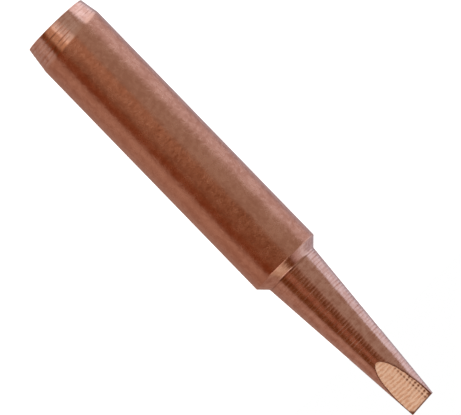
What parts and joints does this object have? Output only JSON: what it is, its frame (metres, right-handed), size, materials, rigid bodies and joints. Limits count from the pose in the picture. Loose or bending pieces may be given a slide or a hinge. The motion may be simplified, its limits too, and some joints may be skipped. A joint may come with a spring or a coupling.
{
  "type": "soldering iron tip",
  "caption": "Solid copper plug-in tip for a soldering iron: plain round shank with a lead-in taper, 45 degree shoulder, slim turned cone and a chisel edge cut by two milled flats.",
  "frame": {"origin": "centre of the flat seat face at the shank's rear end, so the tip stands upright on Z = 0", "axes": "+Z along the tip's axis from the seat face to the chisel edge, +X along the chisel edge, +Y square to the flats"},
  "size_m": [0.0096, 0.0096, 0.0635],
  "materials": {
    "copper": "bare copper: tumbled matte shank, turned taper, shoulder and cone, bright milled flats"
  },
  "bodies": {
    "root": {"chisel_tip": "copper"}
  },
  "joints": []
}
